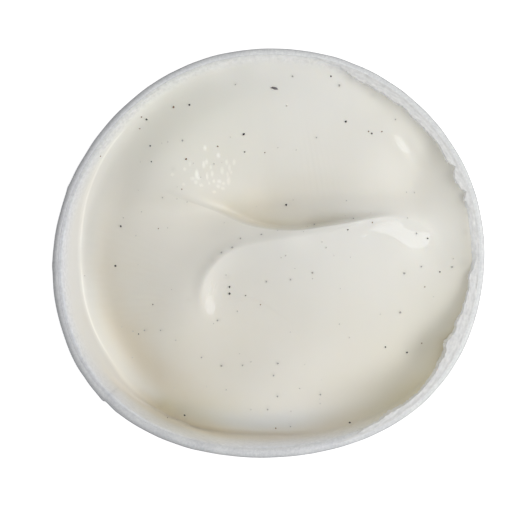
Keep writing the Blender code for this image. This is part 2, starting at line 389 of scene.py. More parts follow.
def paperMaterial(name, values):
    material, tree, shader = newMaterial(name)
    grain = addNoise(tree, values["grain"], detail=4.0, roughness=0.6)
    cloud = addNoise(tree, values["grain"] / fibres["cloudSize"], detail=3.0, roughness=0.55)
    fine = mapRange(tree, grain, noiseRange, fibres["grainShift"])
    wide = mapRange(tree, cloud, noiseRange, fibres["cloudLevels"])
    base = np.array(values["colour"])
    low, high = 1.0 - values["uneven"], 1.0 + values["uneven"]
    bluer, warmer = fibres["blueShift"]
    stops = ((0.0, base * (low, low, low + bluer)), (1.0, base * (high, high, high - warmer)))
    colour = addRamp(tree, addMath(tree, "ADD", fine, wide), stops)
    # the coated board carries the lip's painted light and shade in its tone
    if "outerPaintedLight" in values:
        colour = toned(tree, colour)
    rough, change = values["roughness"], fibres["roughnessShift"]
    roughness = mapRange(tree, grain, noiseRange, (rough - change, rough + change))
    normal = addBump(tree, grain, values["grainDepth"], fibres["bumpStrength"])
    setShader(tree, shader, {"Base Color": colour, "Roughness": roughness, "Normal": normal}, IOR=1.4)
    return material


def vanillaMaterial():
    material, tree, shader = newMaterial("vanilla_cream")
    place = addNode(tree, "TexCoord").outputs["Object"]
    height = addNode(tree, "SeparateXYZ", {0: place}).outputs["Z"]
    lip = cup["height"] * mm
    depth = mapRange(tree, height, (lip, lip - vanilla["deepest"] * mm), (0.0, 1.0))
    cloud = addNoise(tree, vanilla["clouds"], detail=4.0, roughness=0.55)
    cloud = mapRange(tree, cloud, noiseRange, (-vanilla["cloudDepth"], vanilla["cloudDepth"]))
    # painted warm shade in the hollows: the colour follows the depth
    stops = [(deep / vanilla["deepest"], colour) for deep, colour in vanilla["colours"]]
    colour = toned(tree, addRamp(tree, addMath(tree, "ADD", depth, cloud), stops))
    # the fields are the distance into a wet place, the distance from the crease and the share of frost
    fields = addNode(tree, "SeparateXYZ", {0: pointValue(tree, "fields", "Vector")}).outputs
    # the painted highlight along the crease
    beside = addMath(tree, "ABSOLUTE", fields["Y"])
    creaseHighlight = mapRange(tree, beside, (0.0, crease["creaseHighlightWidth"]), (crease["creaseHighlight"], 0.0))
    line = addMath(tree, "MULTIPLY_ADD", creaseHighlight, pointValue(tree, "tone", "Alpha"), 1.0)
    crystals = addNoise(tree, vanilla["frostGrain"], detail=3.0, roughness=0.6)
    mottled = mapRange(tree, crystals, noiseRange, (-vanilla["frostContrast"], vanilla["frostContrast"]))
    light = addMath(tree, "MULTIPLY_ADD", mottled, fields["Z"], line)
    colour = addNode(tree, "VectorMath", {0: colour, "Scale": light}, operation="SCALE").outputs[0]
    soft = wet["soft"] * pixelSize
    roughness = mapRange(tree, fields["X"], (-soft, soft), (vanilla["roughness"], vanilla["wetRoughness"]))
    grain = addNoise(tree, vanilla["grain"], detail=3.0, roughness=0.5)
    normal = addBump(tree, grain, vanilla["grainDepth"])
    setShader(tree, shader, {"Base Color": colour, "Roughness": roughness, "Normal": normal}, IOR=1.45,
              Subsurface_Weight=vanilla["subsurface"], Subsurface_Radius=(1.0, 0.8, 0.5),
              Subsurface_Scale=vanilla["reach"] * mm)
    return material


def frostMaterial():
    # cream that has dried to frost along the lip
    material, tree, shader = newMaterial("frosted_cream")
    cloud = addNoise(tree, frost["grain"], detail=5.0, roughness=0.6)
    colour = toned(tree, addRamp(tree, cloud, frost["stops"]))
    normal = addBump(tree, cloud, frost["grainDepth"])
    setShader(tree, shader, {"Base Color": colour, "Normal": normal}, Roughness=frost["roughness"], IOR=1.35,
              Subsurface_Weight=vanilla["subsurface"], Subsurface_Radius=(1.0, 0.85, 0.6),
              Subsurface_Scale=frost["reach"] * mm)
    return material


def speckMaterial(name, colour):
    material, tree, shader = newMaterial(name)
    cloud = addNoise(tree, specks["grain"], detail=2.0, roughness=0.5)
    stops = [(place, np.array(colour) * light) for place, light in specks["mottles"]]
    setShader(tree, shader, {"Base Color": addRamp(tree, cloud, stops)}, Roughness=0.5)
    return material


iceCream = {
    "middleLevel": -6.1,    # levels are below the lip, by direction from east round by north
    "levelRadius": 32.0,
    "sideLevels": (-5.3, -4.8, -3.3, -3.8, -8.0, -9.3, -9.1, -6.2),
    "contactDepth": (0.24, 0.35, 0.3, 0.2, 0.16, 0.15, 0.15, 0.15, 0.15, 0.15, 0.25, 1.1, 1.4, 1.6, 1.9, 0.7),
    "meanContact": 1.0,
    "climbReach": (0.7, 0.5, 1.3, 1.8, 2.0, 0.7, 0.7, 0.4),     # it climbs to its contact with the wall
    "climbPower": 1.5,
    "wallFilm": 0.2,        # thickness of the cream that clings to the wall above a crevice
    "filmBelow": 0.05,      # and it ends this far below the contact
    "filmRise": (4.3, 6.2, 5.1, 8.7, 2.7, 5.9, 3.2, 0.8),
    "filmEven": 14.0,       # within this radius the film's rise is the same in all directions
    "filmReach": 10.6,
    "creviceDrop": (-0.1, 2.5, 2.4, 5.8, 3.5, 2.1, 7.0, -0.1),
    "creviceReach": (8.8, 4.9, 5.6, 5.8, 3.5, 2.6, 5.5, 3.9),
    "hollowDirection": 185.0,
    "hollowSpread": 60.0,
    "hollowFromWall": 6.4,
    "hollowDepth": 2.3,
    "hollowWidth": 4.6,
    "uneven": 0.012,
    "unevenWaves": (4, 14, 16.0, 4.0),      # seed, how many, the longest and the shortest
    "unevenFrom": 3.0,      # it is even at the wall and all uneven from here inwards
    "topGap": 0.02,         # it stays this far below the top of the cup
    "edgeRounds": 6,        # rounds in which its edge is found
    "rays": 560,
    "innerRings": 150,
    "smallestRing": 0.008,
    "edgeRings": (0.03, 0.12, 0.26, 0.42, 0.6, 0.8, 1.05, 1.3, 1.6, 1.9, 2.2, 2.5, 2.8, 3.1, 3.4, 3.7),
    "edgeDrops": (1.6, 0.9, 0.4, 0.15, 0.03),       # rows below its edge
    "inBoard": 0.03,
    "sideInBoard": 0.02,
    "bottomGap": (0.02, 0.05),      # above the disc and from the wall
}

fold = {
    "line": ((-20.2, 12.1), (-11.2, 8.9), (-3.8, 5.75), (4.7, 4.65),
             (14.1, 5.8), (24.7, 7.5), (31.0, 6.0), (35.8, 1.7)),
    "drop": 6.0,            # the trough behind the line
    "dropSpan": (0.0, 0.4, 0.5, 0.82),      # shares of the line where it begins, is whole, fades and ends
    "wall": 0.5,
    "softStart": 0.6,       # the trough's wall is this much wider where the fold begins
    "softEnds": (0.12, 0.42),
    "reach": 3.0,
    "crest": 0.4,
    "crestSpan": (0.1, 0.45, 0.8, 1.0),
    "crestBack": 1.0,
    "crestFront": 3.6,
    # darker along the trough's wall: how much, where along the fold and how far, where behind it and how wide
    "shades": ((0.14, 0.25, 0.2, 0.35, 0.8), (0.04, 0.2, 0.12, 3.0, 2.5), (0.06, 0.12, 0.06, 0.3, 0.9),
               (0.10, 0.52, 0.11, 0.4, 0.9)),
    "shadeBegins": (-0.25, 0.1),
    "middle": 3,            # the corner of the line where the rays of faces meet
    "raySpread": 24.0,
    "raysLevel": (0.85, 1.0),
}

lobe = {
    "line": ((-12.6, -14.9), (-13.7, -9.4), (-12.2, -4.2), (-7.6, 0.3), (0.4, 2.3), (13.1, 4.3), (24.7, 6.8)),
    "drop": 5.7,
    "dropSpan": (0.0, 0.22, 0.5, 0.95),
    "wall": 7.8,
    "softStart": 0.0,
    "softEnds": (0.0, 1.0),
    "reach": 10.9,
    "crest": 0.7,
    "crestSpan": (0.0, 0.22, 0.5, 0.95),
    "crestBack": 1.6,
    "crestFront": 5.0,
}

# soft rises and dips: height, middle (x, y), half widths, turn in degrees; the last seven mirror the lamp
swells = (
    (4.0, (12.3, 0.5), (24.3, 16.4), 0),
    (1.7, (29.1, 23.5), (4.9, 12.4), 0),
    (2.1, (-13.9, 11.9), (11.5, 3.2), 0),
    (-3.6, (2.1, 10.8), (23.6, 4.1), 0),
    (-2.6, (29.3, 19.3), (5.3, 9.1), 0),
    (-5.8, (-25.8, -36.5), (11.7, 5.8), 0),
    (-4.4, (43.7, -20.6), (8.3, 3.2), 0),
    (3.7, (-20.3, -4.1), (10.8, 13.2), 0),
    (4.4, (1.9, -33.2), (13.8, 12.8), 0),
    (-2.7, (4.6, -31.1), (14.3, 6.0), 0),
    (-4.2, (-30.7, -30.0), (9.4, 15.8), 0),
    (1.3, (0.1, 27.5), (14.0, 24.9), 0),
    (-1.4, (36.2, -31.9), (9.6, 5.7), 0),
    (1.0, (-35.3, 1.3), (4.6, 10.0), 0),
    (2.26, (15.5, 9.3), (14.6, 3.4), -6),
    (1.10, (34.5, 0.4), (5.3, 2.3), -32),
    (-1.38, (34.3, 0.4), (4.9, 2.4), -25),
    (-0.61, (-11.1, -8.5), (4.3, 4.8), 70),
    (-0.30, (-8.9, -5.6), (2.3, 5.4), 88),
    (0.34, (30.0, 22.1), (3.1, 4.7), -15),
    (-0.13, (29.2, 21.6), (1.3, 3.9), 31),
)

# the thin crease in the film on the left wall, from top to bottom: pixel and depth
crease = {
    "line": ((131, 122, 1.8), (114.6, 141, 2.2), (102, 160.7, 3.2), (92.4, 182, 4.4), (85.5, 204, 5.5),
             (81.6, 232, 7.0), (81, 262, 7.8), (84, 295, 8.0), (91, 321, 8.4), (99.5, 340, 9.0),
             (111, 359, 9.6), (124, 378, 10.2)),
    "span": (0.0, 0.08, 0.78, 0.98),
    "strength": (1.0, -0.8, 0.52, 0.05),    # all along it, its change at one place, the place and its reach
    "height": 0.05,
    "width": 0.28,
    "steeper": (0.0, 0.0, 0.0, 0.52, 0.80, 0.36, 0.0, 0.0),     # beyond it the cream climbs this much faster
    "bend": 0.18,
    "creaseHighlight": 0.17,         # a thin painted highlight runs along it
    "creaseHighlightWidth": 0.24,
    # the thin film of cream between this crease and the lip is painted darker, a painted shade, by direction
    # from east round by north
    "filmPaintedShade": (0, 0, 0, 0, 0, 0.02, 0.08, 0.14, 0.155, 0.15, 0.17, 0.10, 0.05, 0.02, 0, 0),
    "filmFade": 0.8,        # it darkens over this distance from the crease
    "shade": (0, 0, 0, 0, 0, 0, 0.03, 0.13, 0.05, -0.01, 0, 0, 0, 0, 0, 0),     # and painted shade inside it
    "shadeEnds": 0.35,
    "shadeFade": 2.4,
}

# a breath of frost on the cream beside the lip, by direction
rimFrost = {
    "strength": (0.2, 0.4, 0.8, 0.8, 0.7, 0.9, 1.0, 1.0, 1.0, 1.0, 0.8, 0.6, 0.8, 0.7, 0.3, 0.2),
    "near": 0.3,
    "far": 1.8,
    "tint": (-0.005, 0.005, 0.04),
    # and the cream is painted lighter where it meets the paper, painted light over the shade at its edge, by
    # direction and by distance from the outline
    "edgePaintedLight": (0, 0, 0, 0, 0.02, 0.03, 0.17, 0.18, 0.16, 0.06, 0.03, 0, 0.02, 0, 0, 0),
    "edgeFrom": 1.6,
    "edgeTo": 2.1,
}

# the narrow crevice between the cream and its film on the front wall, from left to right: pixel and depth
crevice = {
    "line": ((138, 395, 10.5), (146, 404, 11.0), (155, 412.6, 12.0), (175, 423.0, 12.0), (215.5, 431.8, 11.0),
             (270, 435.4, 10.0), (319, 434.6, 8.5), (357, 428.4, 6.0), (380, 418, 4.0)),
    "span": (0.03, 0.15, 0.82, 1.0),
    "strength": (0.3, 0.7, 0.3, 0.42),
    "height": -1.0,
    "width": 0.55,
    "loss": 0.05,           # it is painted darker by this share too, a painted shade
    "lossWidth": 0.6,
}


def bowlShape(angle, radius):
    fromWall = innerRadius(angle, cup["height"] - iceCream["meanContact"]) - radius
    inside = np.maximum(fromWall, 0.0)
    outward = ease(0.0, iceCream["levelRadius"], radius)
    level = iceCream["middleLevel"]
    level = level + (byDirection(iceCream["sideLevels"], angle) - level) * outward
    rise = np.mean(iceCream["filmRise"])
    rise = rise + (byDirection(iceCream["filmRise"], angle) - rise) * ease(0.0, iceCream["filmEven"], radius)
    film = rise * np.exp(-inside / iceCream["filmReach"])
    drop = bell(inside, byDirection(iceCream["creviceReach"], angle))
    drop = byDirection(iceCream["creviceDrop"], angle) * drop
    turned = np.degrees(halfTurn(angle - np.radians(iceCream["hollowDirection"])))
    hollow = iceCream["hollowDepth"] * bell(turned, iceCream["hollowSpread"])
    hollow = hollow * bell(fromWall - iceCream["hollowFromWall"], iceCream["hollowWidth"])
    return level + film - drop - hollow


def foldShape(x, y, values):
    # a crest along a line, with a trough behind it
    away, share = besideLine(x, y, smoothLine(values["line"]))
    behind = np.maximum(away, 0.0)
    side = values["wall"] + values["softStart"] * (1.0 - ease(*values["softEnds"], share))
    drop = values["drop"] * span(values["dropSpan"], share)
    drop = drop * (1.0 - bell(behind, side)) * np.exp(-behind / values["reach"])
    crest = values["crest"] * span(values["crestSpan"], share)
    front = np.exp(np.minimum(away, 0.0) / values["crestFront"])
    return crest * np.where(away > 0.0, bell(away, values["crestBack"]), front) - drop


def foldShade(x, y):
    # the share of light lost along the trough's wall and in the crevice
    away, share = besideLine(x, y, smoothLine(fold["line"]))
    lost = 0.0 * away
    for loss, place, reach, behind, wide in fold["shades"]:
        lost = lost + loss * bell(share - place, reach) * bell(away - behind, wide)
    lost = lost * ease(*fold["shadeBegins"], away)
    away, strength = onLine(x, y, crevice)
    return lost + crevice["loss"] * strength * bell(away, crevice["lossWidth"])


def rollOffset(height):
    # how far the inner side of the rolled lip lies outside the wall at this height
    up = np.clip((height - cup["height"]) / (cup["roll"] / 2.0) + 1.0, 0.0, 1.0)
    return cup["roll"] / 2.0 * (1.0 - np.sqrt(1.0 - up * up))


def pastCrease(angle, radius):
    # how far a place lies beyond the crease in the film, towards the wall
    line = photoLine(crease["line"])
    bearing = np.arctan2(line[:, 1], line[:, 0]) % (2.0 * np.pi)
    order = np.argsort(bearing)
    edge = np.interp(angle % (2.0 * np.pi), bearing[order], np.hypot(line[:, 0], line[:, 1])[order])
    return radius - edge


def spoonedShape(angle, radius):
    x = radius * np.cos(angle)
    y = radius * np.sin(angle)
    height = cup["height"] + bowlShape(angle, radius) + foldShape(x, y, fold) + foldShape(x, y, lobe)
    bend = crease["bend"]
    steeper = np.maximum(byDirection(crease["steeper"], angle), 0.0)
    height = height + steeper * bend * np.logaddexp(0.0, pastCrease(angle, radius) / bend)
    for rise, (middleX, middleY), (widthX, widthY), turn in swells:
        cos, sin = math.cos(math.radians(turn)), math.sin(math.radians(turn))
        along = (x - middleX) * cos + (y - middleY) * sin
        across = (y - middleY) * cos - (x - middleX) * sin
        height = height + rise * bell(along, widthX) * bell(across, widthY)
    return height


# wet places that mirror the lamp, in pixels of the photo: outlines, lines with a half width, and small glints
wet = {
    "outlines": (
        ((366, 233), (371, 228.8), (376, 225.6), (384, 222.6), (391, 221.2), (399, 221.4),
         (402.5, 223.5), (402, 226), (407, 229.6), (413, 231.6), (421, 232), (428, 232.6), (430, 236),
         (429, 243), (426, 246.6), (420, 248.2), (412, 248), (406, 245.6), (400, 240.8), (394, 237),
         (388, 234.8), (382, 233.4), (376, 230.8), (371, 230.4)),
        ((211.5, 296), (214.6, 295), (215.6, 302), (215.2, 309), (213, 315.5), (210, 317.5),
         (207.2, 314), (205.4, 308.5), (204.4, 303), (205.6, 297.5), (208.2, 294.5)),
        ((393.5, 136), (399.8, 136), (402, 139), (405.2, 143), (408.2, 147), (409.6, 151), (409, 155),
         (405.5, 152.8), (401.5, 150.5), (398.8, 147), (396.4, 142.6), (394.4, 138.6)),
    ),
    "lines": (
        (((334, 229), (344, 227.2), (350, 225.8), (356, 223.8), (362, 222.2), (368, 221.6)), 1.0),
        (((372, 221), (379, 219.6), (387, 218.9), (396, 219.6), (401, 221.5)), 0.9),
        (((361.5, 236), (365, 235), (368, 234)), 1.3),
        (((212.5, 279), (210, 285), (208.2, 291), (206.8, 297)), 0.9),
        (((218, 281.5), (215.2, 286.5), (213.6, 292), (212.8, 298)), 0.9),
    ),
    "dullStreaks": (
        (((378, 227.2), (385, 224.6), (391, 223.8), (397, 224)), 0.45),
        (((386, 231), (394, 230.4), (401, 232), (409, 236)), 0.3),
        (((400, 235.5), (408, 239), (416, 241.5), (424, 241)), 0.3),
        (((209.2, 292), (208.8, 300), (210.4, 308)), 0.35),
        (((399, 141), (402, 145.2), (405, 149)), 0.35),
    ),
    "glints": (
        (205, 148, 1.6, 2.4), (218.4, 155.4, 1.7, 2.4), (226.6, 162, 1.4, 2.4), (234, 162, 1.4, 2.6),
        (203.6, 164.6, 1.4, 3.4), (206.6, 161.6, 1.2, 2.4), (222, 170.4, 1.5, 3.4),
        (229.4, 167.6, 1.1, 3.2), (227.4, 174, 1.1, 2.4), (228.4, 180, 1.7, 4.0),
        (196.6, 174, 1.8, 4.4), (192.4, 178.4, 2.2, 1.4), (198.4, 178, 1.8, 1.2),
        (195.6, 182, 1.6, 1.6), (219, 181, 2.0, 1.6), (223.4, 183, 1.6, 1.2), (218, 186, 1.6, 1.5),
        (222.6, 188, 1.9, 1.3), (214, 191.4, 1.9, 1.1), (201, 185, 1.7, 1.2), (212, 173.6, 1.3, 2.6),
        (172.4, 174.4, 1.6, 1.2), (184.6, 169, 1.3, 1.6), (183.4, 184, 1.2, 1.2), (207, 176, 1.0, 3.4),
        (213.6, 181, 1.2, 1.6), (209, 183, 1.0, 1.4), (231, 172, 1.0, 1.8), (210.5, 167, 1.0, 1.6),
        (190, 164, 1.0, 1.6),
    ),
    "soft": 0.5,            # pixels over which a wet place fades
    "strokeSpan": (0.0, 0.15, 0.85, 1.0),   # shares of a line where it begins, is whole, fades and ends
    "strokeTaper": 1.6,     # lines run out to points at their ends
    "glintPaintedHighlight": 0.14,      # the small glints are painted lighter too, a painted highlight
    "glintFade": (0.5, 1.4),
    "dull": 0.3,            # pixels outside a wet place that a dull streak amounts to
    "depth": 2.0,           # about this far below the lip, for the place of a pixel
}

# smudges over deep seeds, and wider painted shade and painted light, lighter where the share is below zero:
# pixel, radius in pixels, share of light lost
smudgesAndPaintedLight = (
    (364, 84, 3.2, 0.10), (372.5, 95.5, 2.8, 0.06), (338.5, 85.4, 2.4, 0.08), (350, 77, 2.6, 0.05),
    (213, 261, 3.4, 0.05), (227.5, 277, 2.4, 0.05), (173, 169, 2.2, 0.05), (188, 300, 2.4, 0.03),
    (218, 320.5, 2.2, 0.06),
    (444, 328, 14.0, 0.04), (420, 347, 14.0, 0.06), (382, 389, 26.0, 0.06), (220, 74, 14.0, -0.05),
    (266, 66, 15.0, -0.04), (298, 239, 14.0, -0.05), (435, 252, 20.0, -0.035), (464, 264, 7.0, 0.09),
    (160, 405, 7.0, 0.06), (180, 414, 8.0, 0.03), (460.8, 195.7, 2.6, 0.12), (464.7, 232.3, 3.0, 0.06),
    (465.8, 213.4, 2.4, 0.05),
)


def fromPixel(x, y, u, v):
    # how far places on the cream lie from the one that a pixel of the photo shows
    middleX, middleY = fromPhoto(u, v, wet["depth"])
    return x - middleX, y - middleY


def onLine(x, y, values):
    # distance from the crease or the crevice, and how strong it is there
    away, share = besideLine(x, y, photoLine(values["line"]))
    even, change, place, reach = values["strength"]
    return away, span(values["span"], share) * (even + change * bell(share - place, reach))


def lineHeight(x, y, values):
    away, strength = onLine(x, y, values)
    return values["height"] * strength * bell(away, values["width"])


def frostShare(x, y):
    angle = np.arctan2(y, x)
    inside = innerRadius(angle, cup["height"]) - np.hypot(x, y)
    return byDirection(rimFrost["strength"], angle) * (1.0 - ease(rimFrost["near"], rimFrost["far"], inside))


def creamTone(x, y):
    # the cream's tint and lightness from place to place, as a factor for each colour: its frost and deep
    # seeds, with painted shade, painted light and painted highlights
    angle = np.arctan2(y, x)
    radius = np.hypot(x, y)
    outline = lipRadius(angle)
    inside = np.maximum(innerRadius(angle, cup["height"]) - radius, 0.0)
    past = pastCrease(angle, radius)
    # painted shade on the film beyond the crease, and inside it
    film = byDirection(crease["filmPaintedShade"], angle) * ease(0.0, crease["filmFade"], past)
    shade = byDirection(crease["shade"], angle) * bell(past, crease["shadeFade"])
    film = film + shade * ease(crease["shadeEnds"], 0.0, past)
    across = radius * halfTurn(np.radians(cup["seam"]) - angle)
    seam = bell(across, paper["creamSeamWidth"]) * (1.0 - ease(*paper["creamSeamEnds"], inside))
    tone = 1.0 - np.outer(film + paper["seamOnCream"] * seam, vanilla["filmTakes"])
    # painted highlight on the small glints
    glint = glintShare(x, y)
    light = (1.0 - foldShade(x, y) * (1.0 - glint)) * (1.0 + wet["glintPaintedHighlight"] * glint)
    # painted warm shade beside the wall
    warm = byDirection(vanilla["warmth"], angle) * np.exp(-inside / vanilla["warmReach"])
    tone = tone * (1.0 + np.outer(warm, vanilla["warmTint"]))
    # painted warm shadow on the cream beside the frosted residue
    loss, reach, direction, spread = residue["edgeShade"]
    beside = np.minimum(radius - outline + residueWidth(angle)[0], 0.0)
    edgeShadow = loss * np.exp(beside / reach) * bell(np.degrees(angle) - direction, spread)
    tone = tone * (1.0 - np.outer(edgeShadow, residue["edgeTint"]))
    for u, v, wide, high, takes in vanilla["tints"]:
        awayX, awayY = fromPixel(x, y, u, v)
        share = bell(awayX, wide * pixelSize) * bell(awayY, high * pixelSize)
        tone = tone * (1.0 - np.outer(share, takes))
    middle, wide = vanilla["coolPlace"]
    cool = byDirection(vanilla["coolness"], angle) * bell(inside - middle, wide)
    tone = tone * (1.0 + np.outer(cool, vanilla["coolTint"]))
    tone = tone * (1.0 + np.outer(frostShare(x, y), rimFrost["tint"]))
    # painted light where the cream meets the paper
    gain = np.maximum(byDirection(rimFrost["edgePaintedLight"], angle), 0.0)
    light = light * (1.0 + gain * (1.0 - ease(rimFrost["edgeFrom"], rimFrost["edgeTo"], outline - radius)))
    blur = specks["blur"] / pixelSize
    seeds = tuple((u, v, size * blur, specks["blurLoss"]) for u, v, size in specks["grey"])
    # seed smudges, and painted shade and painted light
    for u, v, size, loss in smudgesAndPaintedLight + seeds:
        light = light * (1.0 - loss * bell(np.hypot(*fromPixel(x, y, u, v)), size * pixelSize))
    return tone * light[:, None]


def insideOutline(x, y, corners):
    # distance to a closed outline, positive inside it
    nearest = np.full(x.shape, np.inf)
    inside = np.zeros(x.shape, bool)
    for (startX, startY), (endX, endY) in zip(corners, corners[1:] + corners[:1]):
        stepX, stepY = endX - startX, endY - startY
        share = np.clip(((x - startX) * stepX + (y - startY) * stepY) / (stepX ** 2 + stepY ** 2), 0.0, 1.0)
        nearest = np.minimum(nearest, np.hypot(x - startX - share * stepX, y - startY - share * stepY))
        if startY != endY:
            crosses = (startY > y) != (endY > y)
            inside ^= crosses & (x < startX + (y - startY) * stepX / stepY)
    return np.where(inside, nearest, -nearest)


def glintShare(x, y):
    # how much a place belongs to a small glint, which is painted lighter
    most = np.zeros(x.shape)
    for u, v, wide, high in wet["glints"]:
        awayX, awayY = fromPixel(x, y, u, v)
        size = np.hypot(awayX / wide, awayY / high) / pixelSize
        most = np.maximum(most, 1.0 - ease(*wet["glintFade"], size))
    return most


def wetDepth(x, y):
    # how far a place lies inside a wet place, negative outside
    depth = wet["depth"]
    taper = wet["strokeTaper"]
    most = np.full(x.shape, -1.0)

    def besideStroke(line):
        away, share = besideLine(x, y, photoLine([(u, v, depth) for u, v in line]))
        return np.abs(away), span(wet["strokeSpan"], share)

    for outline in wet["outlines"]:
        most = np.maximum(most, insideOutline(x, y, [fromPhoto(u, v, depth) for u, v in outline]))
    for line, width in wet["lines"]:
        away, ends = besideStroke(line)
        most = np.maximum(most, (ends * taper + 1.0 - taper) * width * pixelSize - away)
    for line, width in wet["dullStreaks"]:
        away, ends = besideStroke(line)
        dull = np.maximum(away - ends * width * pixelSize, -wet["dull"] * pixelSize)
        most = np.minimum(most, dull + (1.0 - ends))
    for u, v, wide, high in wet["glints"]:
        awayX, awayY = fromPixel(x, y, u, v)
        most = np.maximum(most, min(wide, high) * (pixelSize - np.hypot(awayX / wide, awayY / high)))
    return most


def iceCreamTop(x, y):
    angle = np.arctan2(y, x)
    radius = np.hypot(x, y)
    edge = innerRadius(angle, cup["height"] - iceCream["meanContact"])
    contact = cup["height"] - byDirection(iceCream["contactDepth"], angle)
    inside = np.maximum(edge - radius, 0.0)
    climb = contact - spoonedShape(angle, edge)
    climb = climb * np.exp(-((inside / byDirection(iceCream["climbReach"], angle)) ** iceCream["climbPower"]))
    level = spoonedShape(angle, np.minimum(radius, edge))
    uneven = iceCream["uneven"] * ripples(x, y, *iceCream["unevenWaves"])
    uneven = uneven * ease(0.0, iceCream["unevenFrom"], inside)
    height = level + climb + uneven + lineHeight(x, y, crease) + lineHeight(x, y, crevice)
    top = innerRadius(angle, cup["height"])
    lean = (top - innerRadius(angle, 0.0)) / cup["height"]
    clinging = cup["height"] - (top - iceCream["wallFilm"] - radius) / lean
    height = np.maximum(height, np.minimum(clinging, contact - iceCream["filmBelow"]))
    return np.minimum(height, cup["height"] - iceCream["topGap"])


def foldRays(edgeX, edgeY, share):
    # points on rays from the fold's middle to the edge, of which two follow the fold
    middleX, middleY = fold["line"][fold["middle"]]
    line = smoothLine(fold["line"])
    start = fold["middle"] * lineSteps
    direction = np.arctan2(edgeY - middleY, edgeX - middleX)
    distance = np.hypot(edgeX - middleX, edgeY - middleY) * share
    turned = direction + 0.0
    for half in (line[:start][::-1], line[start + 1:]):
        fromMiddle = np.hypot(half[:, 0] - middleX, half[:, 1] - middleY)
        bearing = np.arctan2(half[:, 1] - middleY, half[:, 0] - middleX)
        nearest = direction[np.argmin(np.abs(halfTurn(direction - bearing[-1])))]
        turn = np.interp(distance, fromMiddle, halfTurn(bearing - nearest))
        beside = bell(halfTurn(direction - nearest), np.radians(fold["raySpread"]))
        turned = turned + turn * beside * (1.0 - ease(*fold["raysLevel"], share))
    return middleX + distance * np.cos(turned), middleY + distance * np.sin(turned)


def makeIceCream(material):
    count = iceCream["rays"]
    angles = 2.0 * np.pi * np.arange(count) / count
    height = np.full(count, cup["height"] - iceCream["meanContact"])
    for _ in range(iceCream["edgeRounds"]):     # its edge lies a little within the board
        edge = innerRadius(angles, height) + rollOffset(height) + iceCream["inBoard"]
        height = iceCreamTop(edge * np.cos(angles), edge * np.sin(angles))
    above, beside = iceCream["bottomGap"]
    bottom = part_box("cup_base")[1].z / mm + above
    rows = [around(innerRadius(angles, bottom) - beside, angles, bottom)]
    for drop in iceCream["edgeDrops"]:
        lower = height - drop
        side = innerRadius(angles, lower) + rollOffset(lower) + iceCream["sideInBoard"]
        rows.append(around(side, angles, lower))
    rows.append(around(edge, angles, height))
    radii = [edge - inward for inward in iceCream["edgeRings"]]
    rings = [(radius * np.cos(angles), radius * np.sin(angles)) for radius in radii]
    shares = np.linspace(1.0, iceCream["smallestRing"], iceCream["innerRings"])[1:]
    rings += [foldRays(*rings[-1], share) for share in shares]
    x, y = np.array(rings).transpose(1, 0, 2)
    rows += [np.column_stack(row) for row in zip(x, y, iceCreamTop(x, y))]
    faces = ringFaces(len(rows), count)
    middleX, middleY = fold["line"][fold["middle"]]
    top = float(iceCreamTop(np.array([middleX]), np.array([middleY]))[0])
    under = len(rows) * count
    for i in range(count):
        j = (i + 1) % count
        faces.append((j, i, under))
        faces.append((under - count + i, under - count + j, under + 1))
    points = np.vstack(rows + [[[0.0, 0.0, bottom]], [[middleX, middleY, top]]])
    piece = makePiece("iceCreamTopped", points, faces, material)
    x, y = points[:, 0], points[:, 1]
    away, strength = onLine(x, y, crease)
    setTone(piece, creamTone(x, y), strength)
    fields = np.column_stack([wetDepth(x, y), away, frostShare(x, y)])
    setAttribute(piece, "fields", "FLOAT_VECTOR", "vector", fields)
    return piece


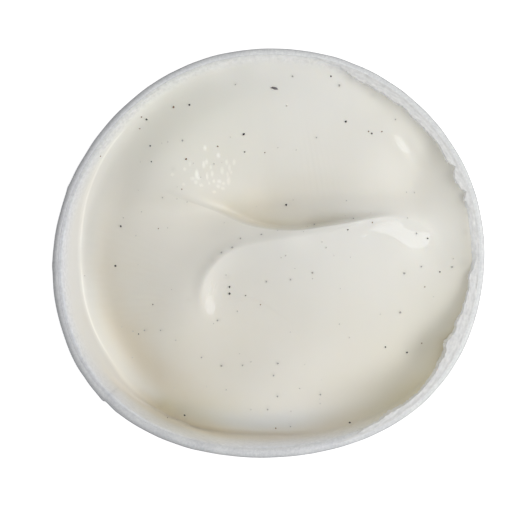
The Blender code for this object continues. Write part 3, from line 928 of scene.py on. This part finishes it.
# frosty cream left on the lip's inner side at the right; directions are from east round by north
residue = {
    "from": -70.0,
    "to": 78.0,
    "fade": 16.0,
    "start": 1.25,          # from the outline inwards
    "width": 3.1,
    "narrowest": (0.1, 0.3),        # beyond its start: at its two ends and elsewhere
    "ragged": 0.12,
    "raggedWaves": (21, 16, 9.0, 2.5),      # seed, how many, the longest and the shortest
    "nicks": 0.07,
    "nickWaves": (25, 20, 1.6, 0.5),
    # wider and narrower places: direction, how much, spread
    "bulges": ((-26.0, 0.6, 7.0), (-43.0, -0.55, 9.0), (-14.0, 0.35, 5.0), (-20.0, 0.3, 2.2),
               (-27.0, 0.4, 1.6), (-56.0, -0.5, 4.0), (25.0, -0.6, 1.3), (17.0, -0.5, 0.9),
               (-13.0, -0.2, 1.5), (21.0, 0.2, 1.2), (33.0, -0.5, 3.0)),
    "top": 0.03,            # below the lip at its outer edge
    "topGap": 0.012,
    "leastDrop": 0.1,       # from its top to its inner edge
    "slopeBegins": (0.3, 0.63, 0.25, 0.8),      # share of its width, and more of it where it is this deep
    "slopeEnds": 1.05,
    "edgeDrop": 0.12,       # its inner edge turns down by this, over the last of its width
    "edgeTurns": 0.85,
    "edgeLight": 0.9,       # the last of its width from here on gets the slope's painted light too
    "lumps": 0.010,
    "lumpWaves": (31, 60, 2.6, 0.5),
    "lumpsFrom": 0.5,       # the lumps are whole this far inside its outer edge
    "streaks": 0.05,        # light and dark streaks along the lip
    "streakWaves": (27, 40, 1.2, 0.35),
    "streakRadius": 9.0,    # the smaller it is, the longer the streaks
    "groove": 1.65,         # from the outline inwards
    "grooveDepth": 0.03,
    "grooveVaries": (0.7, 0.4),     # share of that depth everywhere, and how much it changes
    "grooveWaves": (12, 12, 9.0, 1.5),
    "groovePaintedShade": 0.07,     # and it is painted this much darker, a painted shade in the groove
    "grooveWidth": 0.2,
    "slopePaintedLight": (0.34, 0.32, 0.22, 0.16, 0, 0, 0, 0, 0, 0, 0, 0, 0, 0.05, 0.15, 0.2),     # painted light on its slope, which faces away from the lamp
    "proud": 0.05,          # how far its inner edge stands above the cream
    "overCream": 0.03,      # and at least so far above it elsewhere
    "lookBeyond": 0.15,     # the cream's height is taken this far inside the edge
    # a painted warm shadow on the cream beside it: how much, reach, direction, spread; and how much of each
    # colour it takes
    "edgeShade": (0.11, 1.2, -18.0, 30.0),
    "edgeTint": (0.75, 1.0, 1.4),
    "front": (0.3, 0.65, 1.0),      # rows down its inner side, which bulges a little
    "frontBulge": 0.04,
    "frontFoot": (0.3, 0.2),        # it goes at least this far below the cream and below its edge
    "behind": 0.5,          # its outer side goes this far down, and its back, within the board
    "back": 1.2,
    "backFoot": (0.5, 0.1),         # its foot there, below the cream and below its back
    "inBoard": 0.2,
    "patternRadius": 41.0,
    "columns": 1100,
    "rows": 26,
}


def residueWidth(angle):
    degrees = np.degrees(angle)
    place = angle * residue["patternRadius"]
    width = residue["width"] + residue["ragged"] * alongRipples(place, *residue["raggedWaves"])
    width = width + residue["nicks"] * alongRipples(place, *residue["nickWaves"])
    for direction, size, spread in residue["bulges"]:
        width = width + size * bell(degrees - direction, spread)
    begin, end, reach = residue["from"], residue["to"], residue["fade"]
    fade = span((begin, begin + reach, end - reach, end), degrees)
    least, narrow = residue["narrowest"]
    least = residue["start"] + least
    return least + np.maximum(width - least, narrow) * fade, fade


def makeResidue(material):
    count = residue["columns"]
    angles = np.radians(np.linspace(residue["from"], residue["to"], count))
    width, fade = residueWidth(angles)
    outline = lipRadius(angles)
    start, lipHeight = residue["start"], cup["height"]
    rows = []

    def row(inward, height):
        rows.append(around(outline - inward, angles, np.minimum(height, lipHeight - residue["topGap"])))

    beyond = outline - width - residue["lookBeyond"]
    creamHeight = iceCreamTop(beyond * np.cos(angles), beyond * np.sin(angles))
    drop = np.maximum(lipHeight - residue["top"] - creamHeight - residue["proud"], residue["leastDrop"])
    even, change = residue["grooveVaries"]
    least, more, shallow, deep = residue["slopeBegins"]
    begins = least + more * ease(shallow, deep, drop)

    def slope(share):
        return ease(begins, residue["slopeEnds"], share)

    def groove(inward):
        return bell(inward - residue["groove"], residue["grooveWidth"]) * fade

    def topHeight(inward):
        radius = outline - inward
        x = radius * np.cos(angles)
        y = radius * np.sin(angles)
        lumps = residue["lumps"] * ripples(x, y, *residue["lumpWaves"])
        lumps = lumps * ease(0.0, residue["lumpsFrom"], inward - start)
        varied = even + change * alongRipples(angles * residue["patternRadius"], *residue["grooveWaves"])
        height = lipHeight - residue["top"] - drop * slope((inward - start) / (width - start)) + lumps
        height = height - residue["grooveDepth"] * groove(inward) * varied
        return np.maximum(height, iceCreamTop(x, y) + residue["overCream"])

    tones = [np.ones(count)]
    row(start, lipHeight - residue["behind"])
    for share in np.linspace(0.0, 1.0, residue["rows"]):
        inward = start + (width - start) * share
        row(inward, topHeight(inward) - residue["edgeDrop"] * ease(residue["edgeTurns"], 1.0, share) ** 2)
        # painted light on the steep slope, and painted shade in the groove
        steep = np.minimum(drop * slope(share) * (1.0 - slope(share)) * 4.0, 1.0)
        gain = np.maximum(byDirection(residue["slopePaintedLight"], angles), 0.0)
        gain = gain * np.maximum(steep, ease(residue["edgeLight"], 1.0, share))
        streaks = ripples(angles * residue["streakRadius"], inward, *residue["streakWaves"])
        streaks = residue["streaks"] * streaks
        tones.append(1.0 + streaks + gain - residue["groovePaintedShade"] * groove(inward))
    edge = topHeight(width) - residue["edgeDrop"]
    belowCream, belowEdge = residue["frontFoot"]
    under = np.minimum(creamHeight - belowCream, edge - belowEdge)
    for share in residue["front"]:
        row(width + residue["frontBulge"] * math.sin(share * math.pi), edge + (under - edge) * share)
    back = lipHeight - residue["back"]
    belowCream, belowBack = residue["backFoot"]
    for low in (np.minimum(creamHeight - belowCream, back - belowBack), back):
        row(outline - innerRadius(angles, low) - residue["inBoard"], low)
    faces = []
    total = len(rows)
    for k in range(total):
        low = k * count
        high = (k + 1) % total * count
        for i in range(count - 1):
            faces.append((low + i, high + i, high + i + 1, low + i + 1))
    faces.append(tuple(k * count for k in range(total)))
    faces.append(tuple(k * count + count - 1 for k in range(total - 1, -1, -1)))
    piece = makePiece("frostedResidue", np.vstack(rows), faces, material)
    tones = np.concatenate(tones + [tones[-1]] * (total - len(tones)))
    setTone(piece, np.column_stack([tones, tones, tones]))
    return piece


# vanilla specks, each where the photo shows one: pixel and radius
specks = {
    "black": (
        (146.5, 119.5, 0.22), (189.3, 104.8, 0.21), (243.8, 134.2, 0.23), (286.2, 205, 0.22),
        (345.8, 121.5, 0.22), (371.8, 133.6, 0.19), (229.6, 286.9, 0.22), (229.5, 293.6, 0.23),
        (115.3, 266, 0.21), (120.7, 226.2, 0.2), (330.9, 76.3, 0.18), (406.8, 352.4, 0.19),
        (184.7, 415.2, 0.19), (349.8, 422.5, 0.19), (385.4, 347.1, 0.17), (427.7, 238.5, 0.16),
        (244.7, 152, 0.15), (150.2, 145.9, 0.15), (347.8, 229.8, 0.14), (439.8, 271.8, 0.16),
        (245.5, 295.5, 0.13), (138.6, 334, 0.14), (152.9, 304.5, 0.14), (368.5, 83.4, 0.14),
        (151.3, 161.6, 0.13),
    ),
    "brown": (
        (173.6, 107.2, 0.22), (186.1, 159.2, 0.19), (217.7, 146.4, 0.16), (176.4, 420.4, 0.19),
        (275.7, 428.2, 0.17), (368.5, 131.4, 0.15), (100.4, 156.2, 0.16), (372.5, 222.5, 0.14),
        (181.9, 189.2, 0.13), (264.8, 152.5, 0.13), (141.6, 117, 0.14), (139.8, 128.7, 0.12),
        (382, 131.5, 0.12), (260.5, 304.7, 0.13), (424.8, 286.9, 0.13), (421.7, 343.3, 0.13),
        (158.5, 228.5, 0.12), (167.5, 417.5, 0.12),
    ),
    "grey": (
        (221.7, 365.9, 0.2), (404.4, 273.4, 0.22), (452.3, 267.1, 0.2), (277.5, 396.5, 0.2),
        (277.8, 363.5, 0.2), (400.3, 312.3, 0.2), (312.5, 272.7, 0.19), (292.5, 76.5, 0.19),
        (221.5, 252.5, 0.19), (273.5, 375.5, 0.19), (314.5, 224.5, 0.18), (182.5, 140.5, 0.18),
        (267.5, 409.5, 0.18), (232.5, 247.5, 0.18), (339.5, 85.5, 0.18), (320.5, 394.5, 0.18),
        (242.5, 365.5, 0.17), (416.5, 233.5, 0.17), (144.5, 330.5, 0.17), (261.5, 234.5, 0.17),
        (266.5, 281.5, 0.17), (217.5, 320.5, 0.16), (157.5, 410.5, 0.16), (421.5, 266.5, 0.16),
        (240.5, 238.5, 0.16), (290.5, 279.5, 0.16), (353.5, 218.5, 0.15), (290.5, 426.5, 0.15),
        (316.5, 137.5, 0.15), (235.5, 84.5, 0.15), (395.5, 119.5, 0.15), (183.5, 423.5, 0.15),
        (201.5, 357.5, 0.14), (162.5, 197.5, 0.14), (160.5, 330.5, 0.14),
    ),
    "scattered": 70,        # more, very faint ones, this far inside the outline
    "scatteredSeed": 17,
    "scatteredRadius": 0.13,
    "scatteredSizes": (0.7, 1.25),  # the smallest and the largest, as shares of that radius
    "scatteredEdge": 6.0,
    "across": (70.0, 470.0),        # pixels between which they are drawn
    "down": (60.0, 440.0),
    "depth": 3.0,           # about this far below the lip, and rounds in which the place is found
    "rounds": 4,
    "sides": 9,
    "rings": (0.25, 0.5, 0.75),     # the rings of a speck, from its top to its foot
    "lumps": 0.18,
    "flatness": (0.55, 0.25),       # their height as a share of their width, and how much more it can be
    "flake": (274.3, 88.0, 0.27),   # a sliver of vanilla pod: pixel and half width
    "flakeStretch": 3.52,           # how much longer than wide it is
    "flakeTurn": -8.0,
    "blackColour": (0.012, 0.010, 0.009),
    "brownColour": (0.20, 0.105, 0.045),
    "greyColour": (0.42, 0.41, 0.39),
    "faintColour": (0.66, 0.64, 0.60),
    "flakeColour": (0.16, 0.145, 0.15),
    "grain": 5200.0,
    "mottles": ((0.3, 0.75), (0.7, 1.25)),  # where in the grain it is darkest and lightest, and how much
    "sunk": 0.35,           # share of a speck's height below the surface
    "blur": 2.3,            # a deep seed shows as a smudge this many times its size
    "blurLoss": 0.07,
}


def onCream(u, v):
    # the place on the ice cream that a pixel of the photo shows
    depth = np.full(np.shape(u), specks["depth"])
    for _ in range(specks["rounds"]):
        x, y = fromPhoto(u, v, depth)
        depth = cup["height"] - iceCreamTop(x, y)
    return x, y, cup["height"] - depth


def makeSpecks(kind, places, materialName, seed, stretch=1.0, turn=0.0):
    draw = np.random.default_rng(seed)
    places = np.array(places, float)
    points = []
    faces = []
    sides = specks["sides"]
    turned = 2.0 * np.pi * np.arange(sides) / sides
    cos, sin = math.cos(math.radians(turn)), math.sin(math.radians(turn))
    for middleX, middleY, middleZ, radius in zip(*onCream(places[:, 0], places[:, 1]), places[:, 2]):
        first = len(points)
        lumps = 1.0 + specks["lumps"] * draw.standard_normal(sides)
        flat, more = specks["flatness"]
        half = radius * (flat + more * draw.random())
        middleZ = middleZ + half * (1.0 - 2.0 * specks["sunk"])
        for lean in specks["rings"]:
            out = radius * math.sin(lean * math.pi) * lumps
            localX = stretch * out * np.cos(turned)
            localY = out * np.sin(turned)
            x = middleX + localX * cos - localY * sin
            y = middleY + localX * sin + localY * cos
            points.extend(zip(x, y, np.full(sides, middleZ + half * math.cos(lean * math.pi))))
        points.append((middleX, middleY, middleZ + half))
        points.append((middleX, middleY, middleZ - half))
        for i in range(sides):
            j = (i + 1) % sides
            faces.append((first + i, first + j, first + 3 * sides))
            for ring in (first, first + sides):
                faces.append((ring + i, ring + sides + i, ring + sides + j, ring + j))
            faces.append((first + 2 * sides + j, first + 2 * sides + i, first + 3 * sides + 1))
    name = "podFlake" if kind == "flake" else kind + "Specks"
    material = speckMaterial(materialName, specks[kind + "Colour"])
    return makePiece(name, points, faces, material)


def scatteredPlaces():
    draw = np.random.default_rng(specks["scatteredSeed"])
    places = []
    while len(places) < specks["scattered"]:
        u, v = draw.uniform(*specks["across"]), draw.uniform(*specks["down"])
        x, y = fromPhoto(u, v, specks["depth"])
        if math.hypot(x, y) < float(lipRadius(np.arctan2(y, x))) - specks["scatteredEdge"]:
            places.append((u, v, specks["scatteredRadius"] * draw.uniform(*specks["scatteredSizes"])))
    return places


wall = {
    "topGap": 0.02,         # the lip stays this far below the solid's
    "seamDrop": 0.03,       # the roll is this much lower beside the lap, and rises again over so many degrees
    "seamRise": 8.0,
    "seamRoll": 0.45,       # share of the lap's thickness that shows on the roll
    "rollMeets": 0.25,      # the wall meets the roll this far above the roll's foot
    "wander": 0.03,         # the roll's unevenness
    "wanderWaves": (7, 20, 30.0, 3.0),      # seed, how many, the longest and the shortest
    "patternRadius": 43.0,
    "inset": 0.07,
    # small dents and bumps of the outline: direction, size, spread
    "dents": ((161.9, 0.2, 1.1), (169.0, -0.13, 4.5), (177.5, -0.05, 3.0), (183.4, 0.12, 1.4),
              (214.0, -0.17, 3.0), (221.2, 0.16, 0.8), (222.9, -0.12, 0.5), (226.0, 0.1, 1.0)),
    "foldHeight": 4.2,
    "foldDepth": 1.45,
    "edgeRound": 0.15,
    "insideTop": 1.2,
    "segments": 600,
    "rollSteps": 26,
    "wallSteps": 24,
    "insideSteps": 20,
}


def lapShare(angle):
    before = (cup["seam"] - np.degrees(angle)) % 360.0
    lapped = 1.0 - ease(cup["seamLap"], cup["seamLap"] + cup["seamEase"], before)
    past = 360.0 - before
    return np.where(past < cup["seamEdge"], np.maximum(lapped, 1.0 - past / cup["seamEdge"]), lapped)


def dentSize(angle):
    size = 0.0 * angle
    for direction, depth, width in wall["dents"]:
        beside = np.abs(np.degrees(halfTurn(angle - np.radians(direction))))
        size = size + depth * np.exp(-beside / width)
    return size


def paperTone(x, y, height):
    # the lip's painted light and shade, its painted tint and the dark seam line, from place to place
    angle = np.arctan2(y, x)
    inward = lipRadius(angle) - np.hypot(x, y)
    below, whole = paper["tonedHeight"]
    lip = ease(cup["height"] - below, cup["height"] - whole, height)
    # painted light and shade of the lip by direction
    tone = byDirection(paper["outerPaintedLight"], angle)
    tone = tone + (byDirection(paper["innerPaintedLight"], angle) - tone) * ease(*paper["crest"], inward)
    tone = 1.0 + (tone - 1.0) * lip
    # painted shade on the lip's outer side at the right
    outer = ease(*paper["outerPaintedShadeEnds"], inward) * bell(np.degrees(angle), paper["outerPaintedShadeSpread"])
    tone = tone * (1.0 - paper["outerPaintedShade"] * outer * lip)
    across = np.hypot(x, y) * halfTurn(np.radians(cup["seam"]) - angle)
    seam = paper["seamLoss"] + (paper["seamOnLip"] - paper["seamLoss"]) * lip
    tone = tone * (1.0 - seam * bell(across, paper["seamWidth"]))
    # with the painted tint, less blue on the lit sides
    return np.column_stack([tone, tone, tone * (1.0 - byDirection(paper["paintedBlueLoss"], angle) * lip)])


def makeCupWall(material):
    count = wall["segments"]
    seam = np.radians(cup["seam"])
    angles = seam + 2.0 * np.pi * np.arange(count) / count
    angles = np.sort(np.append(angles, seam + np.radians(cup["seamEdge"])))
    count = len(angles)
    lapped = lapShare(angles)
    board = cup["board"]
    size = cup["roll"] / 2.0 + board / 2.0 * wall["seamRoll"] * lapped      # the roll is thicker on the lap
    past = np.degrees(halfTurn(angles - seam)) % 360.0
    lower = wall["seamDrop"] * (1.0 - lapped) * ease(0.0, wall["seamRise"], past)
    middle = cup["height"] - wall["topGap"] - lower - size
    rows = []

    def ring(offset, height):
        rows.append(around(innerRadius(angles, height) + offset, angles, height))

    proud = board + board * lapped
    depth = wall["foldDepth"]
    rounded = wall["edgeRound"]
    ring(-depth, wall["foldHeight"])
    ring(-depth, rounded)
    ring(rounded - depth, 0.0)
    ring(proud - rounded, 0.0)
    ring(proud, rounded)
    low = cup["height"] - cup["roll"] + wall["rollMeets"]
    for height in np.linspace(rounded, low, wall["wallSteps"])[1:-1]:
        ring(proud, height)
    meet = np.arcsin(np.clip((size - proud) / size, -1.0, 1.0))
    wander = wall["wander"] * alongRipples(angles * wall["patternRadius"], *wall["wanderWaves"])
    uneven = wander - wall["inset"] + dentSize(angles)
    for step in np.linspace(0.0, 1.0, wall["rollSteps"]):
        turn = -np.pi / 2.0 - meet + step * (np.pi * 1.5 + meet)
        outward = np.cos(turn)
        ring(size + size * outward + uneven * np.maximum(outward, 0.0), middle + size * np.sin(turn))
    for height in np.linspace(cup["height"] - wall["insideTop"], board, wall["insideSteps"]):
        ring(0.0, height)
    ring(board - depth, board)
    ring(board - depth, wall["foldHeight"])
    points = np.vstack(rows)
    faces = ringFaces(len(rows), count, closed=True)
    piece = makePiece("paperWall", points, faces, material, sharpDegrees=50.0)
    setTone(piece, paperTone(*points.T))
    return piece


iceCreamPiece = makeIceCream(vanillaMaterial())
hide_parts("ice_cream")
print("ice cream made", len(iceCreamPiece.data.polygons))

residuePiece = makeResidue(frostMaterial())
print("residue made", len(residuePiece.data.polygons))

makeSpecks("black", specks["black"], "vanilla_seed", seed=3)
makeSpecks("brown", specks["brown"], "vanilla_pod", seed=4)
makeSpecks("grey", specks["grey"], "sunken_seed", seed=5)
makeSpecks("faint", scatteredPlaces(), "deep_seed", seed=6)
makeSpecks("flake", [specks["flake"]], "pod_flake", seed=8, stretch=specks["flakeStretch"],
           turn=specks["flakeTurn"])
print("specks made")

wallPiece = makeCupWall(paperMaterial("coated_board", paper))
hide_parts("cup_wall")
print("cup wall made", len(wallPiece.data.polygons))

discMaterial = paperMaterial("disc_board", disc)
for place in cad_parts["cup_base"].material_slots:
    place.material = discMaterial
print("disc dressed")

studio = {
    "key": {"power": 0.585, "azimuth": -5.0, "zenith": 60.0, "distance": 300.0, "wide": 420.0,
            "high": 85.0, "colour": (1.0, 1.0, 1.0)},
    "gleam": {"power": 0.28, "azimuth": -38.0, "zenith": 26.5, "distance": 300.0, "wide": 190.0,
              "high": 140.0, "colour": (0.93, 0.97, 1.0)},
    "sky": (0.55, 0.55, 0.55),
    "below": (0.1152, 0.1176, 0.1272),
    "horizon": (0.45, 0.55),
    "floorHalf": 1500.0,
    "floorColour": (0.9, 0.9, 0.9, 1.0),
    "floorGlow": 0.6,
}


def makeFloor():
    mesh = bpy.data.meshes.new("floor")
    half = studio["floorHalf"] * mm
    corners = [(-half, -half, 0), (half, -half, 0), (half, half, 0), (-half, half, 0)]
    mesh.from_pydata(corners, [], [(0, 1, 2, 3)])
    floor = bpy.data.objects.new("floor", mesh)
    bpy.context.scene.collection.objects.link(floor)
    material, tree, shader = newMaterial("pale_floor")
    setShader(tree, shader, {}, Base_Color=studio["floorColour"], Roughness=0.9,
              Emission_Color=(1.0, 1.0, 1.0, 1.0), Emission_Strength=studio["floorGlow"])
    mesh.materials.append(material)
    floor.visible_diffuse = False
    floor.visible_glossy = False


def makeLamp(name, values):
    azimuth = math.radians(values["azimuth"])
    zenith = math.radians(values["zenith"])
    far = values["distance"] * mm
    data = bpy.data.lights.new(name, "AREA")
    data.shape = "RECTANGLE"
    data.size = values["wide"] * mm
    data.size_y = values["high"] * mm
    data.energy = values["power"]
    data.color = values["colour"]
    lamp = bpy.data.objects.new(name, data)
    level = far * math.sin(zenith)
    up = cup["height"] * mm + far * math.cos(zenith)
    lamp.location = (level * math.cos(azimuth), level * math.sin(azimuth), up)
    # the lamp's long side lies level, and it faces the middle of the cup
    lamp.rotation_euler = (zenith, 0.0, azimuth + math.pi / 2.0)
    bpy.context.scene.collection.objects.link(lamp)
    return lamp


def makeLight():
    makeLamp("key", studio["key"])
    makeLamp("gleam", studio["gleam"]).visible_diffuse = False      # it shows in the wet places alone
    world = bpy.data.worlds.new("studio")
    world.use_nodes = True
    bpy.context.scene.world = world
    tree = world.node_tree
    place = addNode(tree, "TexCoord").outputs["Generated"]
    up = mapRange(tree, addNode(tree, "SeparateXYZ", {0: place}).outputs["Z"], (-1.0, 1.0), (0.0, 1.0))
    low, high = studio["horizon"]
    sky = addRamp(tree, up, ((low, studio["below"]), (high, studio["sky"])))
    tree.links.new(sky, tree.nodes["Background"].inputs["Color"])


def makeCamera():
    data = bpy.data.cameras.new("camera")
    data.sensor_width = camera["sensor"]
    data.lens = camera["sensor"] * camera["aboveLip"] / camera["across"]
    item = bpy.data.objects.new("camera", data)
    item.location = (camera["x"] * mm, camera["y"] * mm, (cup["height"] + camera["aboveLip"]) * mm)
    bpy.context.scene.collection.objects.link(item)
    bpy.context.scene.camera = item


makeFloor()
makeLight()
makeCamera()
bpy.context.scene.view_settings.view_transform = "Standard"
print("floor, light and camera made")

bpy.context.view_layer.update()
